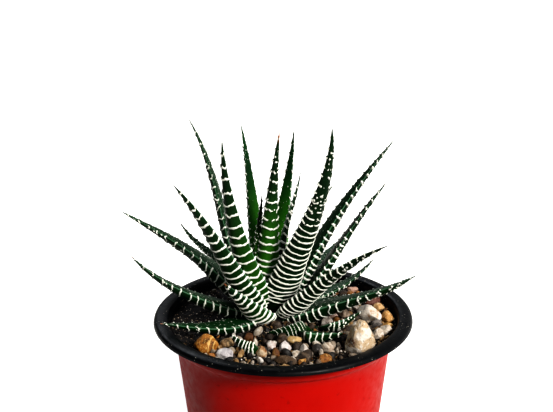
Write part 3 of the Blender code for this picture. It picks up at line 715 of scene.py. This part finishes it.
def black_plastic():
    constants = {"IOR": 1.49, "Specular IOR Level": 0.16}
    material, tree, shader = new_material("polypropylene_black_thermoformed", constants)
    place = object_place(tree)
    film = noise_value(tree, place, 5 * MM, 6.0)
    cells = add_node(
        tree, "ShaderNodeTexVoronoi", None, {"Vector": place, "Scale": 1 / (1.1 * MM), "Randomness": 1.0}
    ).outputs["Distance"]
    crinkle = noise_value(tree, place, 0.6 * MM, 4.0)
    black = mix_colours(tree, film, linear("#020304"), linear("#070b10"))
    speck = add_node(
        tree,
        "ShaderNodeMath",
        {"operation": "MULTIPLY"},
        {0: spread_range(tree, cells, 0.20, 0.10), 1: spread_range(tree, film, 0.47, 0.60)},
    ).outputs[0]
    colour = mix_colours(tree, speck, black, linear("#a9a498"))
    roughness = spread_range(tree, film, 0.3, 0.7, 0.3, 0.5)
    finish_surface(tree, shader, colour, roughness, crinkle, 0.35, 0.2 * MM)
    return material


PLASTICS = (red_plastic(), black_plastic())
print("materials:", [plastic.name for plastic in PLASTICS])

# %% [markdown]
# The colour line splits the outside: below it the red layer shows, above it the black one. Both layers
# stand for the one pot of the CAD model.

# %% Make the pot
POT_SIDES = 160
outside = beside(SHEET, -WALL / 2)
inside = beside(SHEET, WALL / 2)
red_outline = outside[:COLOUR_LINE] + SHEET[:COLOUR_LINE][::-1]
black_outline = inside + outside[COLOUR_LINE - 1 :][::-1] + SHEET[: COLOUR_LINE - 1][::-1]
pot_red = turned("pot_red_outer_layer", red_outline, POT_SIDES, PLASTICS[0])
pot_black = turned("pot_black_inner_layer", black_outline, POT_SIDES, PLASTICS[1])
for layer in (pot_red, pot_black):
    drill_drain_holes(layer)
    stand_for(layer, "pot")
print("pot layers:", len(pot_red.data.polygons), "and", len(pot_black.data.polygons), "faces")

# %% [markdown]
# ## The soil
# Succulent mix is dark peat with a lot of grit. Water has washed the finest grains down, so the surface
# is lumpy. A flat disc with a bumpy material would look flat at its edge against the pot, so the top is
# a fine mesh that is really pushed up and down, and its colour comes in grains.

# %% Soil shape and material
SOIL_DEPTH = 4.5
SOIL_MOUND = 2.5
MOUND_SPREAD = 18.0
HOLLOW_X = -29.0
HOLLOW_Y = -4.0
HOLLOW_DEPTH = 3.5
HOLLOW_SPREAD = 11.0
SOIL_GAP = 0.3  # mm between the soil and the wall
SOIL_SIDES = 280
SOIL_ROWS = 110


def soil_level(x, y):
    """Height of the soil in mm at a place in mm: mounded at the rosette, sunken on the left."""
    away = (x - CROWN.x / MM) ** 2 + (y - CROWN.y / MM) ** 2
    mound = SOIL_MOUND * math.exp(-away / (2 * MOUND_SPREAD**2))
    off = (x - HOLLOW_X) ** 2 + (y - HOLLOW_Y) ** 2
    hollow = HOLLOW_DEPTH * math.exp(-off / (2 * HOLLOW_SPREAD**2))
    return POT_HEIGHT - SOIL_DEPTH + mound - hollow


def lumps(x, y):
    """Clods, crumbs and grains in mm, to be added to the soil's level."""
    coarse = noise.noise(Vector((x / 5.0, y / 5.0, 3.0)))
    middle = noise.noise(Vector((x / 1.9, y / 1.9, 8.0)))
    fine = noise.noise(Vector((x / 0.8, y / 0.8, 13.0)))
    return 0.5 * coarse + 0.45 * middle + 0.28 * fine


def peat_and_grit():
    constants = {"IOR": 1.4}
    material, tree, shader = new_material("potting_peat_with_grit", constants)
    place = object_place(tree)
    clods = noise_value(tree, place, 4 * MM, 8.0)
    grain = add_node(tree, "ShaderNodeTexVoronoi", None, {"Vector": place, "Scale": 1 / (0.7 * MM)})
    fine = noise_value(tree, place, 0.3 * MM, 6.0)
    peat = mix_colours(tree, clods, linear("#040302"), linear("#170f0a"))
    pick = add_node(tree, "ShaderNodeSeparateColor", None, {0: grain.outputs["Color"]})
    sand = mix_colours(tree, pick.outputs[1], linear("#8a6a48"), linear("#d8cbb8"))
    chosen = spread_range(tree, pick.outputs[0], 0.80, 0.84)
    near = spread_range(tree, grain.outputs["Distance"], 0.42, 0.30)
    both = add_node(tree, "ShaderNodeMath", {"operation": "MULTIPLY"}, {0: chosen, 1: near}).outputs[0]
    colour = mix_colours(tree, both, peat, sand)
    roughness = spread_range(tree, clods, 0.3, 0.7, 0.95, 0.7)
    finish_surface(tree, shader, colour, roughness, fine, 0.8, 0.3 * MM)
    return material


def make_soil():
    """A lumpy top, calm at its edge, and below it a body that fills the pot just inside its wall."""
    wall = [(r, z) for r, z in beside(SHEET, WALL / 2 + SOIL_GAP) if z < POT_HEIGHT - SOIL_DEPTH]
    wall = wall[:COLOUR_LINE]
    edge = wall[-1][0] + 0.05
    sides = SOIL_SIDES
    vertices = [(0.0, 0.0, (soil_level(0, 0) + lumps(0, 0)) * MM)]
    for row in range(1, SOIL_ROWS + 1):
        radius = edge * row / SOIL_ROWS
        calm = min(1.0, (SOIL_ROWS - row) / 4)
        for x, y in circle(radius, sides):
            vertices.append((x * MM, y * MM, (soil_level(x, y) + calm * lumps(x, y)) * MM))
    for radius, height in wall[::-1]:
        if radius > 1e-6:
            vertices += [(x * MM, y * MM, height * MM) for x, y in circle(radius, sides)]
    rings = (len(vertices) - 1) // sides
    faces = [(0, 1 + k, 1 + (k + 1) % sides) for k in range(sides)]
    faces += [tuple(v + 1 for v in face) for face in tube_faces(rings, sides)]
    faces.append(tuple(1 + (rings - 1) * sides + k for k in range(sides - 1, -1, -1)))
    return smooth_mesh("soil_surface", vertices, faces, peat_and_grit())


soil = make_soil()
stand_for(soil, "soil")
print("soil points:", len(soil.data.vertices))

# %% [markdown]
# ## Stones
# The top dressing is river gravel: quartz, feldspar, rust-stained sandstone and dark slate, tumbled
# until the corners went. A noise-bumped ball alone looks like a potato. Real pebbles keep the flat
# faces they broke along, so each ball is first cut by a few random planes, then roughened. Each row
# gives the place on the soil, the lift of its centre, the half sizes in mm, its turn, how angular it is,
# its kind of rock, and three colours: the body, the stain and the fleck.

# %% The stone table
STONES = [
    ("orange_rough", (-28.3, -23.4), 2.3, (4.2, 3.8, 3.7), 20, 0.45, "golden", "#b5761f #4e2a08 #efc97c"),
    ("grey_pebble", (-21.0, -30.4), 1.2, (3.1, 2.6, 2.0), 10, 0.6, "pale", "#c9c4c6 #8f8a90 #f0ecea"),
    ("olive", (-20.6, -21.0), 1.4, (2.4, 1.9, 1.6), 25, 0.4, "dark", "#8f7350 #4b3a22 #c8ab80"),
    ("orange_granular", (-7.9, -29.6), 1.3, (1.9, 1.9, 2.3), 0, 0.9, "golden", "#b58a5c #7c4a20 #e6d2b4"),
    ("white_pair_left", (-4.2, -24.8), 1.2, (2.0, 1.9, 1.9), 30, 0.9, "pale", "#d8ccc6 #9c7f70 #f6f0ea"),
    ("white_pair_right", (0.6, -26.0), 1.3, (2.4, 2.1, 2.3), -20, 0.9, "pale", "#dcd3d0 #a08c84 #fbf7f4"),
    ("brown_wedge", (0.6, -35.6), 1.1, (3.8, 1.7, 1.7), -18, 0.8, "dark", "#5f4a34 #2a1d12 #a48a6a"),
    ("cream", (4.4, -20.4), 1.2, (2.8, 1.6, 1.6), -5, 0.9, "golden", "#e0bd80 #a87434 #f6e6c4"),
    ("white_pebble", (7.6, -28.4), 1.3, (1.7, 1.7, 2.1), 15, 0.9, "pale", "#e0d6cc #a8937c #fcf8f2"),
    ("dark", (12.3, -27.4), 1.2, (1.8, 1.7, 2.0), 0, 0.5, "dark", "#3a3634 #141212 #77706a"),
    ("pale_tan", (16.0, -26.4), 1.3, (2.2, 1.8, 2.2), 0, 0.6, "pale", "#c0ac98 #6e5a48 #e8dccb"),
    ("speckled", (16.7, -7.4), 1.6, (2.3, 2.0, 2.6), 35, 0.5, "pale", "#a59a90 #4c4038 #ece6de"),
    ("tall_tan", (28.0, -25.4), 3.6, (4.8, 4.2, 7.8), 8, 0.55, "pale", "#dcc3a0 #5f3a1a #fffaf0"),
    ("white_large", (33.6, 1.2), 2.2, (5.4, 3.1, 3.1), -48, 0.6, "pale", "#f6ecde #d09a58 #fffcf6"),
    ("yellow_tan", (38.2, 10.0), 1.2, (2.1, 1.8, 1.7), -20, 0.9, "golden", "#d8b078 #9a6a34 #f4dcb4"),
    ("golden", (40.4, -0.4), 1.5, (2.4, 2.5, 2.5), 15, 0.9, "golden", "#cf9c58 #8a5a22 #f2d4a0"),
    ("grey_small", (35.8, -4.8), 0.9, (2.1, 1.4, 1.5), 0, 0.4, "dark", "#5a5452 #262221 #98908a"),
    ("gold_flat", (39.8, -6.6), 0.8, (2.1, 1.4, 1.3), 0, 0.9, "golden", "#c08c3c #7a4f18 #ecc888"),
    ("white_cluster_left", (35.4, -15.0), 1.4, (2.3, 2.1, 2.2), 40, 0.9, "pale", "#d8cab8 #94765a #f8f0e6"),
    ("white_cluster_right", (38.8, -11.4), 1.4, (2.1, 1.8, 2.2), 0, 0.9, "pale", "#dccfbe #a08464 #faf4ea"),
    ("red_brown", (36.0, 15.8), 1.6, (3.2, 2.3, 2.4), 25, 0.6, "dark", "#6a3a2a #2c1410 #a87258"),
    ("pink_flat", (19.8, 1.0), 0.8, (1.6, 1.3, 1.3), 10, 0.9, "pale", "#c8a89a #8a665a #ecd8cc"),
    ("brown_grey", (24.2, 2.4), 1.2, (2.4, 2.0, 2.0), -15, 0.9, "dark", "#84705e #443428 #b8a692"),
    ("pink_back", (29.0, 28.6), 0.9, (2.0, 1.7, 1.6), 0, 0.9, "pale", "#c8a08c #8c6450 #ecd0c0"),
]



TAPER = {"tall_tan": 0.20, "white_large": 0.1}  # how much narrower the top is than the middle
print(len(STONES), "stones of", len({row[6] for row in STONES}), "kinds of rock")

# %% [markdown]
# Gravel that has just been watered is darker than dry gravel, so every rock colour is damped by the
# same share. Rust follows the cracks and pale minerals stand as specks, so three noises lay the stain
# and the fleck over the body colour. A flat colour per stone would look like painted plaster.

# %% Rock and pebble shape
DAMP = 0.76  # the share of a dry stone's light that a moist one gives back
CUTS = 13  # random planes that flatten a pebble


def moist(hex_colour):
    return [part * DAMP for part in linear(hex_colour)[:3]] + [1.0]


def gravel_rock(name, body, stain, fleck, grain):
    """Weathered rock: broad stains, fine mineral flecks and a pitted, matt surface."""
    material, tree, shader = new_material(name, {"IOR": 1.54})
    place = object_place(tree)
    cloud = noise_value(tree, place, grain, 6.0, Roughness=0.65)
    patch = noise_value(tree, place, grain / 0.55, 3.0, Distortion=1.2)
    pits = noise_value(tree, place, grain / 8, 5.0)
    weathered = add_node(tree, "ShaderNodeAttribute", {"attribute_name": "weathered"}).outputs["Fac"]
    colour = moist(body)
    for share, top in (
        (spread_range(tree, cloud, 0.50, 0.66), stain),
        (spread_range(tree, patch, 0.54, 0.60, 0.0, 0.85), fleck),
        (spread_range(tree, pits, 0.56, 0.66, 0.0, 0.8), fleck),
        (spread_range(tree, pits, 0.40, 0.32, 0.0, 0.75), stain),
        (weathered, stain),
    ):
        colour = mix_colours(tree, share, colour, moist(top))
    roughness = spread_range(tree, cloud, 0.3, 0.7, 0.5, 0.8)
    finish_surface(tree, shader, colour, roughness, pits, 0.7, grain * 0.12)
    return material


def pebble_shape(subdivisions, seed, angular):
    """Unit pebble: a ball, flattened by random planes and roughened by noise."""
    draw = random.Random(seed)
    ball = bmesh.new()
    bmesh.ops.create_icosphere(ball, subdivisions=subdivisions, radius=1.0)
    planes = []
    for _ in range(CUTS):
        way = Vector((draw.uniform(-1, 1), draw.uniform(-1, 1), draw.uniform(-1, 1))).normalized()
        planes.append((way, draw.uniform(0.90 - 0.32 * angular, 0.98 - 0.06 * angular)))
    shift = Vector((seed * 7.3, seed * 3.1, seed * 5.7))
    points = []
    for vertex in ball.verts:
        co = vertex.co.copy()
        for way, limit in planes:
            over = co.dot(way) - limit
            if over > 0:
                co -= way * over * min(1.0, 0.45 + 0.6 * angular)
        rough = 0.10 * noise.noise(co * 1.6 + shift) + 0.05 * noise.noise(co * 4.0 + shift)
        rough += 0.025 * angular * noise.noise(co * 9.0 + shift)
        points.append(co * (1.06 + 0.10 * angular + rough))
    faces = [tuple(v.index for v in face.verts) for face in ball.faces]
    ball.free()
    return points, faces


print("points on a large pebble:", len(pebble_shape(4, 1, 0.5)[0]))

# %% [markdown]
# A named stone lies where the CAD model has it, on the soil's own level, so it can't float.


# %% Make the stones
def make_stone(name, place, lift, half_sizes, turn, angular, kind, colours, seed):
    points, faces = pebble_shape(4, seed, angular)
    spin = Euler((0.0, 0.0, math.radians(turn))).to_matrix()
    middle = Vector((place[0], place[1], soil_level(*place) + lift))
    size = Matrix.Diagonal(Vector(half_sizes))
    taper = TAPER.get(name, 0.0)
    for p in points:
        p.x *= 1 - taper * p.z
    vertices = [(spin @ (size @ p) + middle) * MM for p in points]
    rock = gravel_rock("river_gravel_" + name, *colours.split(), max(half_sizes) * 0.8 * MM)
    piece = smooth_mesh("rock_stone_" + name, vertices, faces, rock)
    stand_for(piece, "stone_" + name)


for number, row in enumerate(STONES):
    make_stone(*row, number + 1)
print("stones placed:", len(STONES))

# %% [markdown]
# ## Gravel and grit
# Between the stones lies gravel from one to four millimetres, thick in front and on the right, thin on
# the left where the leaves hang low. Every grain could be dropped with a physics simulation, but grains
# only need to lie close, half sunk, and clear of leaves. So grains are thrown at random from large to
# small, and a grain that would land on another is thrown away. Grains of one rock share one mesh.

# %% Scatter the gravel
ROCKS = {
    "quartz": ("#cfc4b4", "#7e684c", "#fdfaf4"),
    "sandstone": ("#a07c4c", "#4a3018", "#dcc090"),
    "amber": ("#a66c2c", "#4c280c", "#dcb06c"),
    "slate": ("#1e1b19", "#0a0908", "#4a433e"),
    "brown": ("#3f3024", "#160f09", "#84705a"),
}
ROCK_SHARES = (("quartz", 0.24), ("sandstone", 0.20), ("amber", 0.10), ("slate", 0.18), ("brown", 0.28))
GRAIN_SIZES = ((2.0, 200), (1.5, 600), (1.1, 1400), (0.75, 3600), (0.48, 7000))  # radius in mm, throws
SOIL_EDGE = 43.0  # mm from the axis
CELL = 5  # mm, the side of a square in which thrown grains are looked up
CLOSEST = 0.86  # of the sum of two radii
FULL_TURN = 6.3
SHARP_EDGE = 32  # degrees
SHAPES = 12


def gravel_density(x, y):
    """How much of the soil is covered with gravel at a place, from 0 to 1."""
    right = 1 / (1 + math.exp(-(x + 2) / 4))
    front = 1 / (1 + math.exp((y + 17) / 3))
    bare = math.exp(-((x - 23) ** 2 + (y + 32) ** 2) / 18)
    patchy = 0.75 + 0.5 * noise.noise(Vector((x / 6, y / 6, 31.0)))
    shaded = 1 / (1 + math.exp((x + 29) / 2))
    return (0.03 + 0.82 * max(right, front)) * patchy * (1 - bare) * (1 - 0.9 * shaded)


def scatter_gravel():
    """Throws grains from large to small. One that lands on a leaf or on another grain is taken away."""
    draw = random.Random(7)
    leaf_tree = KDTree(len(GRAVEL_KEEP_OFF))
    for number, point in enumerate(GRAVEL_KEEP_OFF):
        leaf_tree.insert(Vector(point) / MM, number)
    leaf_tree.balance()
    taken = {}
    grains = []

    def near(x, y):
        i, j = int(x // CELL), int(y // CELL)
        for di in (-1, 0, 1):
            for dj in (-1, 0, 1):
                yield from taken.get((i + di, j + dj), [])

    def claim(x, y, reach):
        taken.setdefault((int(x // CELL), int(y // CELL)), []).append((x, y, reach))

    for _, place, _, half_sizes, *_ in STONES:
        claim(*place, 0.82 * (half_sizes[0] + half_sizes[1]) / 2)
    for base in [size for size, throws in GRAIN_SIZES for _ in range(throws)]:
        radius = base * draw.uniform(0.8, 1.2)
        away = (SOIL_EDGE - radius) * math.sqrt(draw.random())
        turn = draw.uniform(0, 2 * math.pi)
        x, y = away * math.cos(turn), away * math.sin(turn)
        kind = draw.random()
        tilt = [draw.uniform(0, FULL_TURN) for _ in range(3)]
        stretch = (draw.uniform(0.9, 1.5), draw.uniform(0.75, 1.1), draw.uniform(0.55, 0.9))
        if draw.random() > gravel_density(x, y):
            continue
        if any(math.dist((x, y), (u, v)) < CLOSEST * (radius + w) for u, v, w in near(x, y)):
            continue
        z = soil_level(x, y) + 0.5 * lumps(x, y) + 0.35 * radius
        if leaf_tree.find(Vector((x, y, z)))[2] < radius * 0.9:
            continue
        claim(x, y, radius)
        grains.append((radius, x, y, z, kind, tilt, stretch))
    return grains


def rock_for(kind):
    """The rock that a number from 0 to 1 picks."""
    for name, share in ROCK_SHARES:
        if kind < share:
            return name
        kind -= share
    return ROCK_SHARES[-1][0]


def make_gravel(grains):
    """Each grain is one of a dozen pebbles, turned and stretched. Small grains take a coarser ball."""
    shapes = {}
    for level in (1, 2, 3):
        shapes[level] = [pebble_shape(level, 40 + k, 0.5 + 0.1 * (k % 6)) for k in range(SHAPES)]
    parts = {name: ([], [], []) for name in ROCKS}
    for number, (radius, x, y, z, kind, tilt, stretch) in enumerate(grains):
        vertices, faces, weathered = parts[rock_for(kind)]
        level = 1 + (radius > 0.62) + (radius > 1.3)
        points, corners = shapes[level][number % SHAPES]
        spin = Euler(tilt).to_matrix()
        first = len(vertices)
        for p in points:
            q = spin @ Vector([c * s * radius for c, s in zip(p, stretch)])
            vertices.append(((q.x + x) * MM, (q.y + y) * MM, (q.z + z) * MM))
        faces.extend(tuple(first + c for c in face) for face in corners)
        weathered.extend([0.8 * (tilt[0] / FULL_TURN) ** 2] * len(points))
    for name, (vertices, faces, weathered) in parts.items():
        rock = gravel_rock("crushed_" + name, *ROCKS[name], 1.6 * MM)
        piece = smooth_mesh("gravel_" + name, vertices, faces, rock)
        piece.data.set_sharp_from_angle(angle=math.radians(SHARP_EDGE))
        mark_vertices(piece, "weathered", weathered)
        stand_for(piece, "soil")


GRAINS = scatter_gravel()
make_gravel(GRAINS)
print(len(GRAINS), "grains of gravel")

# %% [markdown]
# ## The stem
# The stem and its roots are buried, and only a little of the crown shows between the leaves. Its shape
# is right as the CAD has it, so it stays and only gets its own finish: pale, fibrous and dry.


# %% Stem finish
def root_bark():
    material, tree, shader = new_material("haworthia_stem_and_root_bark", {"IOR": 1.45})
    fibres = noise_value(tree, object_place(tree), 0.8 * MM, 5.0)
    colour = mix_colours(tree, fibres, linear("#3d3a1c"), linear("#8a7d4a"))
    roughness = spread_range(tree, fibres, 0.3, 0.7, 0.8, 0.6)
    finish_surface(tree, shader, colour, roughness, fibres, 0.5, 0.2 * MM)
    return material


stem = bpy.data.objects["stem_with_roots"]
stem.data.materials.clear()
stem.data.materials.append(root_bark())
print("stem:", stem.name)

# %% [markdown]
# ## Stage, light and camera
# A product shot of a plant wants a pale sweep and one large soft light. The key light stands on the
# right, in front and not much above the rim, so it rakes the leaves' bands, reaches the pot under its
# rim and brightens it towards the right. A faint light from behind lifts the leaf tips off the background,
# and the pale surroundings do the rest.

# %% Floor and lights
def pale_sweep():
    """White paper that throws less light back up at the plant than it shows, as with a black skirt."""
    material, tree, shader = new_material("matt_paper_sweep", {"Roughness": 0.9})
    bounced = add_node(tree, "ShaderNodeLightPath").outputs["Is Diffuse Ray"]
    colour = mix_colours(tree, bounced, linear("#f4f4f2"), linear("#686866"))
    tree.links.new(colour, shader.inputs["Base Color"])
    # For the camera the paper also glows faintly: painted light that lightens the plant's shadow on it.
    seen = add_node(tree, "ShaderNodeLightPath").outputs["Is Camera Ray"]
    shader.inputs["Emission Color"].default_value = linear("#ffffff")
    tree.links.new(spread_range(tree, seen, 0.0, 1.0, 0.0, 0.4), shader.inputs["Emission Strength"])
    return material


FLOOR_HALF = 3.0  # metres
corners = [(x * FLOOR_HALF, y * FLOOR_HALF, 0.0) for x, y in ((-1, -1), (1, -1), (1, 1), (-1, 1))]
floor = smooth_mesh("floor", corners, [(0, 1, 2, 3)], pale_sweep())


def soft_light(name, direction, softness, strength, colour):
    """A far, soft light: the direction points from the plant to the light."""
    lamp = bpy.data.lights.new(name, "SUN")
    lamp.angle = math.radians(softness)
    lamp.energy = strength
    lamp.color = linear(colour)[:3]
    holder = bpy.data.objects.new(name, lamp)
    holder.rotation_euler = Vector(direction).to_track_quat("Z", "Y").to_euler()
    bpy.context.scene.collection.objects.link(holder)


soft_light("key", (0.52, -0.66, 0.56), 14, 3.2, "#fffaf4")
soft_light("back_light", (-0.30, 0.75, 0.75), 30, 0.7, "#f4f8ff")


def pale_room():
    """White where it is looked at, but a weak light that fades towards the left, so shadows stay deep."""
    world = bpy.data.worlds.new("pale_room")
    world.use_nodes = True
    tree = world.node_tree
    glow = tree.nodes["Background"]
    glow.inputs["Color"].default_value = linear("#ffffff")
    way = add_node(tree, "ShaderNodeTexCoord").outputs["Generated"]
    across = add_node(tree, "ShaderNodeSeparateXYZ", None, {0: way}).outputs["X"]
    fill = spread_range(tree, across, -0.7, 0.9, 0.08, 0.50)
    seen = add_node(tree, "ShaderNodeLightPath").outputs["Is Camera Ray"]
    strength = spread_range(tree, seen, 0.0, 1.0, fill, 1.0)
    tree.links.new(strength, glow.inputs["Strength"])
    bpy.context.scene.world = world


pale_room()

# %% [markdown]
# The camera looks down at the rim from the front at about a quarter of a right angle, near enough that
# the front of the pot is clearly larger than its back. It is aimed above the rim, so the pot's foot
# falls below the picture.

# %% Camera
RIM_CENTRE = Vector((0.0, 0.0, POT_HEIGHT * MM))
CAMERA_DISTANCE = 0.390
CAMERA_HEIGHT_ANGLE = 24.3  # degrees above the rim's plane
TILT_UP = 6.0  # the camera is aimed this much above the rim's centre
SWING = -0.35  # degrees to the side
LEAN = -0.45  # degrees of roll
SENSOR = 36.0  # mm
FOCAL_LENGTH = 65.1  # mm

lens = bpy.data.cameras.new("camera")
lens.sensor_width = SENSOR
lens.lens = FOCAL_LENGTH
camera = bpy.data.objects.new("camera", lens)
high = math.radians(CAMERA_HEIGHT_ANGLE)
camera.location = RIM_CENTRE + Vector((0, -math.cos(high), math.sin(high))) * CAMERA_DISTANCE
pitch = math.radians(TILT_UP - CAMERA_HEIGHT_ANGLE)
swing = math.radians(SWING)
forward = Vector(
    (math.sin(swing) * math.cos(pitch), math.cos(swing) * math.cos(pitch), math.sin(pitch))
)
level = Vector((math.cos(swing), -math.sin(swing), 0))
upright = level.cross(forward)
lean = math.radians(LEAN)
right = level * math.cos(lean) + upright * math.sin(lean)
up = upright * math.cos(lean) - level * math.sin(lean)
camera.rotation_euler = Matrix((right, up, -forward)).transposed().to_euler()
bpy.context.scene.collection.objects.link(camera)
bpy.context.scene.camera = camera
bpy.context.scene.view_settings.view_transform = "Standard"
bpy.context.scene.view_settings.look = "High Contrast"
print("camera at", [round(v, 3) for v in camera.location])

# %% [markdown]
# The visual model has to stay the size of the CAD model.

# %% Finish
bpy.context.view_layer.update()
